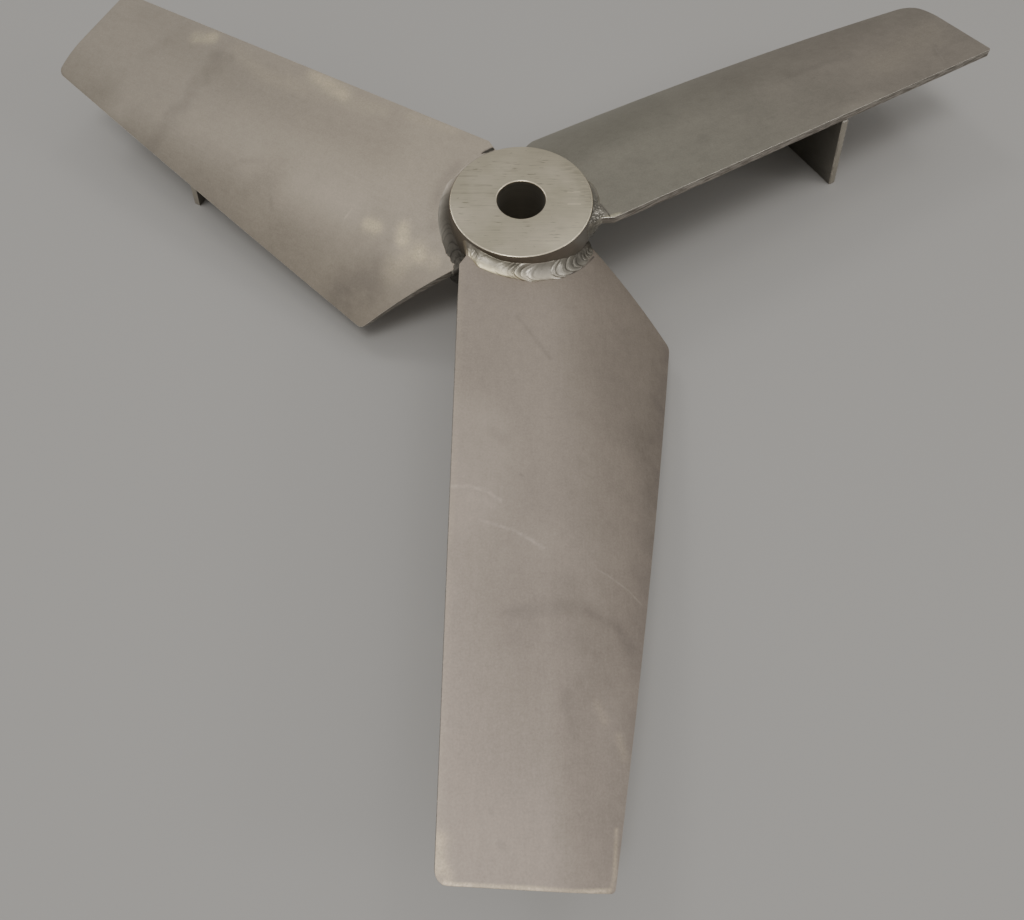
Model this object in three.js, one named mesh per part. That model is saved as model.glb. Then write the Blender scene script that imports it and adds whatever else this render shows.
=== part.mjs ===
// A three-blade mixer impeller, welded from a turned hub, rolled plate blades and plate fins.
//
// Millimetres, +Z up. The bore's axis is Z and the hub's lower face lies at z = 0, where the impeller
// stands together with the lower edges of its three fins. Each blade is described in its own frame:
// it points along -Y, its high leading edge is at -X and its low trailing edge at +X. The other two
// blades are the same one turned a third of a circle each time about the bore, apart from the hand-ground
// rounds of their tip corners and the setback of their fins.

import * as THREE from 'three';

// Hub: 3 inch bar, 1 inch bore
const HUB_RADIUS = 38.1;
const HUB_LENGTH = 69.85;
const BORE_RADIUS = 12.7;
const RIM_CHAMFER = 0.8;
const BORE_CHAMFER = 0.7;
const HUB_SIDES = 72;

// Blade plate and its outline in plan, lying along -Y. The trailing edge is straight on the flat plate,
// so that rolling leaves it slightly bowed in plan.
const PLATE = 4;
const LEAD_CORNER = new THREE.Vector2(-31.3, -39);
const LEAD_CLIP = new THREE.Vector2(-28, -33);
const LEAD_TIP = new THREE.Vector2(-29.6, -313.6);
const TRAIL_TIP = new THREE.Vector2(37.8, -317.5);
const TRAIL_CORNER = new THREE.Vector2(84.4, -56.8);
const TRAIL_BOW = 1.3;
const ROOT_LEAD_ANGLE = THREE.MathUtils.degToRad(-47);
const ROOT_TRAIL_ANGLE = THREE.MathUtils.degToRad(72);
const TRAIL_CORNER_ROUND = 5;

// The three blades, in order about the bore, with the rounds of their tip corners, and how far their fins
// are set back at the leading edge
const BLADES = [
  { name: 'front', leadTipRound: 5, trailTipRound: 2, finSetback: 1.3 },
  { name: 'right', leadTipRound: 1.5, trailTipRound: 10, finSetback: 0 },
  { name: 'left', leadTipRound: 3, trailTipRound: 5, finSetback: 0 },
];

// Height of the plate's upper face: a straight leading edge, a pitch that eases from root to tip,
// and a roll of constant radius behind the roll line
const LEAD_LINE_X = -31;
const ROOT_STATION = 40;
const TIP_STATION = 315;
const LEAD_DROP_ROOT = 4.6;
const LEAD_DROP_TIP = 10.5;
const PITCH_ROOT = 0.184;
const PITCH_TIP = 0.148;
const ROLL_LINE_X = 12.5;
const ROLL_RADIUS = 91;

// Mesh of the plate: columns across it on either side of the roll line, rows along it from root to tip
const FLAT_COLUMNS = 5;
const ROLL_COLUMNS = 12;
const CHAMFER_ROWS = 5;
const BODY_ROWS = 11;
const CORNER_STEPS = 3;
const TIP_STEPS = 4;
const SHOULDER_START = 0.07;
const SHOULDER_END = 0.09;

// Fin: a plate under each blade, set across it and leaning outwards towards its lower edge
const FIN_LEAD_X = -31.8;
const FIN_TRAIL_X = 53;
const FIN_STATION = 196.6;
const FIN_LEAN = Math.tan(THREE.MathUtils.degToRad(18.9));
const FIN_SKEW = Math.tan(THREE.MathUtils.degToRad(3));
const FIN_WIDTH = PLATE * Math.hypot(1, FIN_LEAN);
const FIN_COLUMNS = 14;
const MEETING_ROUNDS = 4;

// Welds: their legs, how full their faces are, and the gap to what they join
const GAP = 0.3;
const ROOT_WELD_OUT = 7;
const ROOT_WELD_UP = 5;
const ROOT_WELD_STEPS = 22;
const TOP_WELD_ANGLES = [-42, 70].map(THREE.MathUtils.degToRad);
const UNDER_WELD_ANGLES = [-40, 67].map(THREE.MathUtils.degToRad);
const FIN_WELD_LEG = 4;
const FIN_WELD_MARGIN = 3;
const FIN_WELD_STEPS = 16;
const WELD_BULGE = 0.62;
const WELD_CURVE_STEPS = 3;
const WELD_END_SIZE = 0.6;
const WELD_END_SHARE = 1 / 6;
const END_GAP_ANGLE = THREE.MathUtils.degToRad(0.7);
const END_WELD_ANGLE = THREE.MathUtils.degToRad(9);
const END_WELD_REACH = 6;
const END_WELD_HEIGHT = 8.3;
const END_WELD_BELOW_TOP = 0.4;
const END_WELD_STEPS = 4;
const END_WELD_SWELL = 0.45;

const stainless = (name, color, roughness) =>
  new THREE.MeshStandardMaterial({ name, color, roughness, metalness: 1 });
const MATERIALS = {
  hub: stainless('machined stainless', 0x9a948a, 0.38),
  blade: stainless('blasted stainless plate', 0x8f877d, 0.55),
  fin: stainless('plain stainless plate', 0x7d7870, 0.5),
  weld: stainless('weld metal', 0xb4b0a8, 0.35),
};

// Share of the way along the blade, 0 at the root station and 1 at the tip station
const along = (y) => (-y - ROOT_STATION) / (TIP_STATION - ROOT_STATION);

function plateSlope(x, y) {
  const pitch = THREE.MathUtils.lerp(PITCH_ROOT, PITCH_TIP, along(y));
  return -pitch - Math.max(0, x - ROLL_LINE_X) / ROLL_RADIUS;
}

function plateTop(x, y) {
  const lead = THREE.MathUtils.lerp(LEAD_DROP_ROOT, LEAD_DROP_TIP, along(y));
  const pitch = THREE.MathUtils.lerp(PITCH_ROOT, PITCH_TIP, along(y));
  const roll = Math.max(0, x - ROLL_LINE_X) ** 2 / (2 * ROLL_RADIUS);
  return HUB_LENGTH - lead - pitch * (x - LEAD_LINE_X) - roll;
}

function plateUnderside(x, y) {
  return plateTop(x, y) - PLATE * Math.hypot(1, plateSlope(x, y));
}

// Direction from the upper face to the underside: square to the plate, but straight down at the hub
function plateDepth(x, y, square) {
  const slope = plateSlope(x, y);
  const length = Math.hypot(1, slope);
  const squareOffset = new THREE.Vector3((slope * PLATE) / length, 0, -PLATE / length);
  const plumbOffset = new THREE.Vector3(0, 0, -PLATE * length);
  return plumbOffset.lerp(squareOffset, square);
}

const onHub = (angle, radius = HUB_RADIUS + GAP) =>
  new THREE.Vector2(radius * Math.sin(angle), -radius * Math.cos(angle));

// Points of the arc that rounds a corner
function roundedCorner(before, corner, after, radius, steps) {
  const towardsBefore = before.clone().sub(corner).normalize();
  const towardsAfter = after.clone().sub(corner).normalize();
  const halfAngle = Math.acos(towardsBefore.dot(towardsAfter)) / 2;
  const reach = radius / Math.tan(halfAngle);
  const start = corner.clone().addScaledVector(towardsBefore, reach);
  const end = corner.clone().addScaledVector(towardsAfter, reach);
  const middle = towardsBefore.add(towardsAfter).normalize();
  const centre = corner.clone().addScaledVector(middle, radius / Math.sin(halfAngle));
  const turn = Math.PI - 2 * halfAngle;
  return Array.from({ length: steps + 1 }, (_, i) => {
    const t = i / steps;
    const a = start.clone().sub(centre).multiplyScalar(Math.sin((1 - t) * turn));
    const b = end.clone().sub(centre).multiplyScalar(Math.sin(t * turn));
    return a.add(b).divideScalar(Math.sin(turn)).add(centre);
  });
}

const between = (a, b, steps) =>
  Array.from({ length: steps }, (_, i) => a.clone().lerp(b, (i + 1) / (steps + 1)));

// Points between two others on a shallow bow to the left of the way from a to b
function bowed(a, b, steps, height) {
  const left = new THREE.Vector2(a.y - b.y, b.x - a.x).normalize();
  return between(a, b, steps).map((point, i) => {
    const t = (i + 1) / (steps + 1);
    return point.addScaledVector(left, 4 * height * t * (1 - t));
  });
}

// Rows of the plate from root to tip. Each runs from a point of the leading side to one of the
// trailing side; the first ones bow around the hub, and straight says how much of that bow is gone.
// The rows beside the chamfered corner start within a short shoulder of the leading edge.
function plateRows({ leadTipRound, trailTipRound }) {
  const rootLead = onHub(ROOT_LEAD_ANGLE);
  const rootTrail = onHub(ROOT_TRAIL_ANGLE);
  const corner = roundedCorner(rootTrail, TRAIL_CORNER, TRAIL_TIP, TRAIL_CORNER_ROUND, CORNER_STEPS);
  const trailTip = roundedCorner(TRAIL_CORNER, TRAIL_TIP, LEAD_TIP, trailTipRound, TIP_STEPS);
  const leadTip = roundedCorner(LEAD_CORNER, LEAD_TIP, TRAIL_TIP, leadTipRound, TIP_STEPS);
  const shoulder = LEAD_CORNER.clone().lerp(LEAD_TIP, SHOULDER_START);
  const shoulderEnd = LEAD_CORNER.clone().lerp(LEAD_TIP, SHOULDER_END);

  const lead = [
    rootLead,
    LEAD_CLIP,
    LEAD_CORNER,
    ...between(LEAD_CORNER, shoulder, CHAMFER_ROWS - 2),
    shoulder,
    ...between(shoulder, shoulderEnd, CORNER_STEPS - 1),
    shoulderEnd,
    ...between(shoulderEnd, leadTip[0], BODY_ROWS),
    ...leadTip,
  ];
  const trail = [
    rootTrail,
    ...between(rootTrail, corner[0], CHAMFER_ROWS),
    ...corner,
    ...bowed(corner[CORNER_STEPS], trailTip[0], BODY_ROWS, TRAIL_BOW),
    ...trailTip,
  ];
  return lead.map((point, i) => ({
    lead: point,
    trail: trail[i],
    straight: Math.min(1, i / (CHAMFER_ROWS + 1)),
  }));
}

// Share of a row's width at a column: evenly spaced around the hub, and on either side of the roll line
// where the rows are straight
function columnShare(row, column) {
  const even = column / (FLAT_COLUMNS + ROLL_COLUMNS);
  const roll = (ROLL_LINE_X - row.lead.x) / (row.trail.x - row.lead.x);
  const split = column < FLAT_COLUMNS
    ? (roll * column) / FLAT_COLUMNS
    : roll + ((1 - roll) * (column - FLAT_COLUMNS)) / ROLL_COLUMNS;
  return THREE.MathUtils.lerp(even, split, row.straight);
}

function planPoint(row, rows, u) {
  const first = rows[0];
  const full = rows.find((r) => r.straight === 1);
  const aroundHub = (t) => {
    const arc = onHub(THREE.MathUtils.lerp(ROOT_LEAD_ANGLE, ROOT_TRAIL_ANGLE, t));
    return arc.lerp(full.lead.clone().lerp(full.trail, t), row.straight);
  };
  if (row.straight === 1) return row.lead.clone().lerp(row.trail, u);
  if (row === first) return aroundHub(u);
  const leadShift = row.lead.clone().sub(aroundHub(0)).multiplyScalar(1 - u);
  const trailShift = row.trail.clone().sub(aroundHub(1)).multiplyScalar(u);
  return aroundHub(u).add(leadShift).add(trailShift);
}

// Moves every vertex of a unit box or an extrusion with the given function
function bend(geometry, place) {
  const position = geometry.attributes.position;
  const point = new THREE.Vector3();
  for (let i = 0; i < position.count; i += 1) {
    point.fromBufferAttribute(position, i);
    position.setXYZ(i, ...place(point).toArray());
  }
  geometry.computeVertexNormals();
  return geometry;
}

function hubGeometry() {
  const profile = [
    [BORE_RADIUS, BORE_CHAMFER],
    [BORE_RADIUS + BORE_CHAMFER, 0],
    [HUB_RADIUS - RIM_CHAMFER, 0],
    [HUB_RADIUS, RIM_CHAMFER],
    [HUB_RADIUS, HUB_LENGTH - RIM_CHAMFER],
    [HUB_RADIUS - RIM_CHAMFER, HUB_LENGTH],
    [BORE_RADIUS + BORE_CHAMFER, HUB_LENGTH],
    [BORE_RADIUS, HUB_LENGTH - BORE_CHAMFER],
    [BORE_RADIUS, BORE_CHAMFER],
  ].map(([radius, z]) => new THREE.Vector2(radius, z));
  const geometry = new THREE.LatheGeometry(profile, HUB_SIDES);
  return geometry.rotateX(Math.PI / 2);
}

function bladeGeometry(rounds) {
  const rows = plateRows(rounds);
  const columns = FLAT_COLUMNS + ROLL_COLUMNS;
  const box = new THREE.BoxGeometry(1, 1, 1, columns, rows.length - 1, 1);
  return bend(box, (p) => {
    const row = rows[Math.round((0.5 - p.y) * (rows.length - 1))];
    const plan = planPoint(row, rows, columnShare(row, Math.round((p.x + 0.5) * columns)));
    const top = new THREE.Vector3(plan.x, plan.y, plateTop(plan.x, plan.y));
    return p.z > 0 ? top : top.add(plateDepth(plan.x, plan.y, row.straight));
  });
}

// Y of the fin's inner face at a chordwise place and a height
function finInner(x, z) {
  const drop = plateUnderside(FIN_LEAD_X, -FIN_STATION) - z;
  return -(FIN_STATION - (x - FIN_LEAD_X) * FIN_SKEW + drop * FIN_LEAN);
}

// Height of the plate's underside above the fin, found where the leaning face meets it
function finTop(x, outwards) {
  let z = plateUnderside(x, -FIN_STATION);
  for (let i = 0; i < MEETING_ROUNDS; i += 1) z = plateUnderside(x, finInner(x, z) - outwards);
  return z - GAP;
}

function finGeometry(setback) {
  const box = new THREE.BoxGeometry(1, 1, 1, FIN_COLUMNS, 1, 1);
  return bend(box, (p) => {
    const x = THREE.MathUtils.lerp(FIN_LEAD_X + setback, FIN_TRAIL_X, p.x + 0.5);
    const outwards = p.y > 0 ? 0 : FIN_WIDTH;
    const z = p.z > 0 ? finTop(x, outwards) : 0;
    return new THREE.Vector3(x, finInner(x, z) - outwards, z);
  });
}

// A bead's section: two legs from the joint and a rounded face between them, extruded along Z from 0 to 1
function beadGeometry(out, up, steps) {
  const section = new THREE.Shape();
  section.moveTo(0, 0);
  section.lineTo(out, 0);
  section.quadraticCurveTo(out * WELD_BULGE, up * WELD_BULGE, 0, up);
  section.closePath();
  const options = { depth: 1, steps, curveSegments: WELD_CURVE_STEPS, bevelEnabled: false };
  return new THREE.ExtrudeGeometry(section, options);
}

// A bead is full along its length and thins out where it starts and stops
const beadSize = (t) =>
  THREE.MathUtils.lerp(WELD_END_SIZE, 1, Math.min(1, t / WELD_END_SHARE, (1 - t) / WELD_END_SHARE));

// Bead around the hub on a blade's upper face, side 1, or its underside, side -1
function rootWeldGeometry(side) {
  const [startAngle, endAngle] = side > 0 ? TOP_WELD_ANGLES : UNDER_WELD_ANGLES;
  const bead = beadGeometry(ROOT_WELD_OUT, ROOT_WELD_UP, ROOT_WELD_STEPS);
  return bend(bead, (p) => {
    const along01 = side > 0 ? 1 - p.z : p.z;
    const size = beadSize(along01);
    const angle = THREE.MathUtils.lerp(startAngle, endAngle, along01);
    const plan = onHub(angle, HUB_RADIUS + GAP + p.x * size);
    const face = side > 0 ? plateTop(plan.x, plan.y) : plateUnderside(plan.x, plan.y);
    return new THREE.Vector3(plan.x, plan.y, face + side * (GAP + p.y * size));
  });
}

// Bead that closes a root joint at one end of the plate: a corner filled between the hub and the edge
// of the plate that runs away from it, on the side of that edge given by turn
function endWeldGeometry(rootAngle, edgeEnd, turn) {
  const root = onHub(rootAngle);
  const edge = edgeEnd.clone().sub(root).normalize();
  const away = new THREE.Vector2(-edge.y, edge.x).multiplyScalar(turn * 2 * GAP);
  const reach = Math.min(END_WELD_REACH, edgeEnd.distanceTo(root));
  const outer = root.clone().addScaledVector(edge, reach).add(away);
  const from = rootAngle + turn * END_GAP_ANGLE;
  const to = rootAngle + turn * END_WELD_ANGLE;

  const section = new THREE.Shape();
  for (let i = 0; i <= END_WELD_STEPS; i += 1) {
    const point = onHub(THREE.MathUtils.lerp(from, to, i / END_WELD_STEPS));
    if (i === 0) section.moveTo(point.x, point.y);
    else section.lineTo(point.x, point.y);
  }
  const swell = onHub(to, HUB_RADIUS + END_WELD_REACH / 2).lerp(outer, END_WELD_SWELL);
  section.quadraticCurveTo(swell.x, swell.y, outer.x, outer.y);
  section.closePath();
  const options = {
    depth: END_WELD_HEIGHT,
    steps: 1,
    curveSegments: END_WELD_STEPS,
    bevelEnabled: false,
  };
  const high = plateTop(root.x, root.y) - END_WELD_BELOW_TOP;
  return new THREE.ExtrudeGeometry(section, options).translate(0, 0, high - END_WELD_HEIGHT);
}

// Bead under the blade along the fin's inner face, side 1, or its outer face, side -1
function finWeldGeometry(side) {
  const start = FIN_LEAD_X + FIN_WELD_MARGIN;
  const end = FIN_TRAIL_X - FIN_WELD_MARGIN;
  const bead = beadGeometry(FIN_WELD_LEG, FIN_WELD_LEG, FIN_WELD_STEPS);
  return bend(bead, (p) => {
    const along01 = side > 0 ? 1 - p.z : p.z;
    const size = beadSize(along01);
    const x = THREE.MathUtils.lerp(start, end, along01);
    const reach = (side > 0 ? 0 : -FIN_WIDTH) + side * (GAP + p.x * size);
    let z = plateUnderside(x, -FIN_STATION);
    for (let i = 0; i < MEETING_ROUNDS; i += 1) {
      z = plateUnderside(x, finInner(x, z) + reach) - GAP - p.y * size;
    }
    return new THREE.Vector3(x, finInner(x, z) + reach, z);
  });
}

function mesh(name, geometry, material) {
  const result = new THREE.Mesh(geometry, material);
  result.name = name;
  return result;
}

function blade({ name, finSetback, ...rounds }) {
  const group = new THREE.Group();
  group.add(
    mesh(`blade_${name}`, bladeGeometry(rounds), MATERIALS.blade),
    mesh(`fin_${name}`, finGeometry(finSetback), MATERIALS.fin),
    mesh(`root_weld_top_${name}`, rootWeldGeometry(1), MATERIALS.weld),
    mesh(`root_weld_under_${name}`, rootWeldGeometry(-1), MATERIALS.weld),
    mesh(`root_weld_lead_end_${name}`, endWeldGeometry(ROOT_LEAD_ANGLE, LEAD_CLIP, -1), MATERIALS.weld),
    mesh(`root_weld_trail_end_${name}`, endWeldGeometry(ROOT_TRAIL_ANGLE, TRAIL_CORNER, 1), MATERIALS.weld),
    mesh(`fin_weld_inner_${name}`, finWeldGeometry(1), MATERIALS.weld),
    mesh(`fin_weld_outer_${name}`, finWeldGeometry(-1), MATERIALS.weld),
  );
  return group;
}

const impeller = new THREE.Group();
impeller.add(mesh('hub', hubGeometry(), MATERIALS.hub));
BLADES.forEach((details, i) => {
  const group = blade(details);
  group.rotation.z = (i * 2 * Math.PI) / BLADES.length;
  impeller.add(group);
});

export default impeller;
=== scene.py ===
"""A welded stainless mixer impeller on a pale floor.

Lengths are metres in the frame of the CAD model: the bore's axis is Z, the hub stands on z = 0 and the
front blade points along -Y. A blade's own frame is the front blade's, turned a third of a circle for
each of the other two. Places on a blade are given in it as (x, s): x across, towards the trailing
edge, and s outwards from the bore's axis.
"""

import math
import random

import bmesh
import bpy
from mathutils import Matrix, Vector, noise
from mathutils.bvhtree import BVHTree


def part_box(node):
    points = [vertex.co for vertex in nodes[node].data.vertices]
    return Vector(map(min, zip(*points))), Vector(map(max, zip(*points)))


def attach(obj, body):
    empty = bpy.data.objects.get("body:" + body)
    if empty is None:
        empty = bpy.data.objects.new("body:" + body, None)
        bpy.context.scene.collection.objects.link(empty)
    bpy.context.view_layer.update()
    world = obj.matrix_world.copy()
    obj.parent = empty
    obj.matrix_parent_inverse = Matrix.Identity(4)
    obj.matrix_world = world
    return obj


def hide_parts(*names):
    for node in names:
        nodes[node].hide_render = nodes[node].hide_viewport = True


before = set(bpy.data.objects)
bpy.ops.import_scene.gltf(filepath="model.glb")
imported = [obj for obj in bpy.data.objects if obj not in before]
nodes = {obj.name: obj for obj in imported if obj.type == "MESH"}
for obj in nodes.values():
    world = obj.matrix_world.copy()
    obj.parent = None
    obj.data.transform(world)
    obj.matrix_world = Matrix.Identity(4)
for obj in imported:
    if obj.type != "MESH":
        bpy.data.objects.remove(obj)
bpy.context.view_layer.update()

MM = 0.001
BLADES = ("front", "right", "left")
HUB_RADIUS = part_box("hub")[1].x
HUB_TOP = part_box("hub")[1].z


def blade_turn(index):
    return index * 2 * math.pi / len(BLADES)


# Camera, at the photograph's place

CAMERA_PLACE = Vector((0.0, -0.2733, 0.2845 + HUB_TOP))
CAMERA_YAW = math.radians(-1.43)
CAMERA_PITCH = math.radians(66.51)
CAMERA_ROLL = math.radians(-0.84)
FRAME_WIDTH = 1024
FOCAL_PIXELS = 702.6
SENSOR_WIDTH = 36.0


def add_camera():
    data = bpy.data.cameras.new("camera")
    data.sensor_fit = "HORIZONTAL"
    data.sensor_width = SENSOR_WIDTH
    data.lens = SENSOR_WIDTH * FOCAL_PIXELS / FRAME_WIDTH
    data.clip_start = 0.01
    camera = bpy.data.objects.new("camera", data)
    forward = Vector((
        math.sin(CAMERA_YAW) * math.cos(CAMERA_PITCH),
        math.cos(CAMERA_YAW) * math.cos(CAMERA_PITCH),
        -math.sin(CAMERA_PITCH),
    ))
    level = Vector((math.cos(CAMERA_YAW), -math.sin(CAMERA_YAW), 0.0))
    upright = level.cross(forward)
    right = math.cos(CAMERA_ROLL) * level + math.sin(CAMERA_ROLL) * upright
    up = math.cos(CAMERA_ROLL) * upright - math.sin(CAMERA_ROLL) * level
    turn = Matrix((right, up, -forward)).transposed().to_4x4()
    camera.matrix_world = Matrix.Translation(CAMERA_PLACE) @ turn
    bpy.context.scene.collection.objects.link(camera)
    bpy.context.scene.camera = camera


# Node trees

class Tree:
    """A material's node tree. Each call adds one node and gives back the socket to use next."""

    def __init__(self, name):
        self.material = bpy.data.materials.new(name)
        self.material.use_nodes = True
        self.nodes = self.material.node_tree.nodes
        self.links = self.material.node_tree.links
        self.shader = self.nodes["Principled BSDF"]

    def feed(self, socket, value):
        if isinstance(value, bpy.types.NodeSocket):
            self.links.new(value, socket)
        elif isinstance(value, (tuple, list)) and len(value) == 3 and socket.type == "RGBA":
            socket.default_value = (*value, 1)
        else:
            socket.default_value = value

    def math(self, operation, *values, clamp=False):
        node = self.nodes.new("ShaderNodeMath")
        node.operation = operation
        node.use_clamp = clamp
        for socket, value in zip(node.inputs, values):
            self.feed(socket, value)
        return node.outputs[0]

    def vector(self, operation, *values, scale=None):
        node = self.nodes.new("ShaderNodeVectorMath")
        node.operation = operation
        for socket, value in zip(node.inputs, values):
            self.feed(socket, value)
        if scale is not None:
            self.feed(node.inputs["Scale"], scale)
        return node.outputs["Value"] if operation in ("DOT_PRODUCT", "LENGTH") else node.outputs[0]

    def place(self, turn=0.0):
        """Position in millimetres in a frame turned about Z."""
        texture = self.nodes.new("ShaderNodeTexCoord")
        return self.turned(self.vector("SCALE", texture.outputs["Object"], scale=1 / MM), turn)

    def turned(self, vector, turn):
        rotate = self.nodes.new("ShaderNodeVectorRotate")
        rotate.rotation_type = "Z_AXIS"
        self.feed(rotate.inputs["Vector"], vector)
        rotate.inputs["Angle"].default_value = -turn
        return rotate.outputs[0]

    def face_normal(self, turn=0.0):
        geometry = self.nodes.new("ShaderNodeNewGeometry")
        return self.turned(geometry.outputs["True Normal"], turn)

    def split(self, vector):
        node = self.nodes.new("ShaderNodeSeparateXYZ")
        self.feed(node.inputs[0], vector)
        return node.outputs["X"], node.outputs["Y"], node.outputs["Z"]

    def join(self, x, y, z):
        node = self.nodes.new("ShaderNodeCombineXYZ")
        for socket, value in zip(node.inputs, (x, y, z)):
            self.feed(socket, value)
        return node.outputs[0]

    def noise(self, vector, size, detail=3.0, roughness=0.55, stretch=(1, 1, 1)):
        """Noise between 0 and 1 with patches about size millimetres wide."""
        node = self.nodes.new("ShaderNodeTexNoise")
        node.inputs["Scale"].default_value = 1.0
        node.inputs["Detail"].default_value = detail
        node.inputs["Roughness"].default_value = roughness
        scale = tuple(1 / (size * s) for s in stretch)
        self.feed(node.inputs["Vector"], self.vector("MULTIPLY", vector, scale))
        return node.outputs["Fac"]

    def attribute(self, name):
        node = self.nodes.new("ShaderNodeAttribute")
        node.attribute_name = name
        return node.outputs["Fac"]

    def span(self, value, low, high, to_low=0.0, to_high=1.0, smooth=True):
        node = self.nodes.new("ShaderNodeMapRange")
        node.interpolation_type = "SMOOTHSTEP" if smooth else "LINEAR"
        limits = {"From Min": low, "From Max": high, "To Min": to_low, "To Max": to_high}
        for name, number in limits.items():
            self.feed(node.inputs[name], number)
        self.feed(node.inputs["Value"], value)
        return node.outputs["Result"]

    def blend(self, share, first, second):
        node = self.nodes.new("ShaderNodeMix")
        node.data_type = "RGBA"
        self.feed(node.inputs["Factor"], share)
        self.feed(node.inputs["A"], first)
        self.feed(node.inputs["B"], second)
        return node.outputs["Result"]

    def swing(self, share):
        """A share around a half, as a value around 0."""
        return self.math("SUBTRACT", share, 0.5)

    def toned(self, colour, tone):
        """Colour made lighter or darker by the factor 1 + tone."""
        return self.vector("SCALE", colour, scale=self.math("ADD", tone, 1.0))

    def sum(self, *terms):
        """Sum of terms, each a socket and its weight."""
        total = 0.0
        for socket, weight in terms:
            total = self.math("MULTIPLY_ADD", socket, weight, total)
        return total

    def bump(self, height, depth, normal=None):
        """Normal from a height of 0 to 1 that stands for depth millimetres."""
        node = self.nodes.new("ShaderNodeBump")
        node.inputs["Strength"].default_value = 1.0
        node.inputs["Distance"].default_value = depth * MM
        self.feed(node.inputs["Height"], height)
        if normal is not None:
            self.feed(node.inputs["Normal"], normal)
        return node.outputs["Normal"]

    def finish(self, colour, roughness, normal):
        """The material, as bare metal."""
        self.shader.inputs["Metallic"].default_value = 1.0
        for name, socket in (("Base Color", colour), ("Roughness", roughness), ("Normal", normal)):
            self.feed(self.shader.inputs[name], socket)
        return self.material


def stroke_group():
    """A node group: how much a point of the plane lies in a soft straight stroke, from 0 to 1."""
    group = bpy.data.node_groups.new("soft_stroke", "ShaderNodeTree")
    for name, kind in (("Point", "Vector"), ("Start", "Vector"), ("End", "Vector"), ("Width", "Float")):
        group.interface.new_socket(name, in_out="INPUT", socket_type=f"NodeSocket{kind}")
    group.interface.new_socket("Share", in_out="OUTPUT", socket_type="NodeSocketFloat")
    source = group.nodes.new("NodeGroupInput")
    result = group.nodes.new("NodeGroupOutput")

    def add(kind, operation, *values):
        node = group.nodes.new(kind)
        node.operation = operation
        for socket, value in zip(node.inputs, values):
            if isinstance(value, bpy.types.NodeSocket):
                group.links.new(value, socket)
            else:
                socket.default_value = value
        return node

    def vector(operation, *values):
        node = add("ShaderNodeVectorMath", operation, *values)
        return node.outputs["Value"] if operation in ("DOT_PRODUCT", "LENGTH") else node.outputs[0]

    def number(operation, *values):
        return add("ShaderNodeMath", operation, *values).outputs[0]

    run = vector("SUBTRACT", source.outputs["End"], source.outputs["Start"])
    reach = vector("SUBTRACT", source.outputs["Point"], source.outputs["Start"])
    ratio = number("DIVIDE", vector("DOT_PRODUCT", reach, run), vector("DOT_PRODUCT", run, run))
    clamped = number("MINIMUM", number("MAXIMUM", ratio, 0.0), 1.0)
    scale = add("ShaderNodeVectorMath", "SCALE", run)
    group.links.new(clamped, scale.inputs["Scale"])
    away = vector("LENGTH", vector("SUBTRACT", reach, scale.outputs[0]))
    share = number("SUBTRACT", 1.0, number("DIVIDE", away, source.outputs["Width"]))
    soft = group.nodes.new("ShaderNodeMapRange")
    soft.interpolation_type = "SMOOTHSTEP"
    group.links.new(share, soft.inputs["Value"])
    group.links.new(soft.outputs["Result"], result.inputs["Share"])
    return group


STROKE = stroke_group()


def strokes(tree, point, marks):
    """Sum of marks. Each has its points as (x, s) and its half width, in millimetres, and a strength."""
    total = 0.0
    for points, width, strength in marks:
        share = None
        for start, end in zip(points, points[1:]):
            node = tree.nodes.new("ShaderNodeGroup")
            node.node_tree = STROKE
            tree.feed(node.inputs["Point"], point)
            tree.feed(node.inputs["Start"], (start[0], -start[1], 0))
            tree.feed(node.inputs["End"], (end[0], -end[1], 0))
            node.inputs["Width"].default_value = width
            stroke = node.outputs["Share"]
            share = stroke if share is None else tree.math("MAXIMUM", share, stroke)
        total = tree.math("MULTIPLY_ADD", share, strength, total)
    return total


# Blades: blasted plate with the marks of handling

# Narrow scuffs on each blade
SCUFFS = {
    "front": (
        (((-30, 159.4), (-21.8, 159), (-15, 160.2), (-8.3, 164.5)), 1.5, 0.15),
        (((-24, 163), (-12, 167)), 4.0, 0.05),
        (((-17, 174.4), (-9, 176.2), (-1, 178.4), (5.6, 182), (11, 185.4)), 1.2, 0.15),
        (((-2, 178), (11, 185.4)), 2.6, 0.06),
        (((35, 192.8), (41, 195.7), (49.5, 200.5), (55.6, 206)), 0.7, 0.16),
    ),
    "right": (
        (((-10, 288), (-24, 281)), 1.0, 0.1),
        (((-13, 117), (-9, 119)), 1.5, 0.08),
    ),
    "left": ((((37, 88.4), (42.5, 90.2)), 1.0, 0.16),),
}
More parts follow.
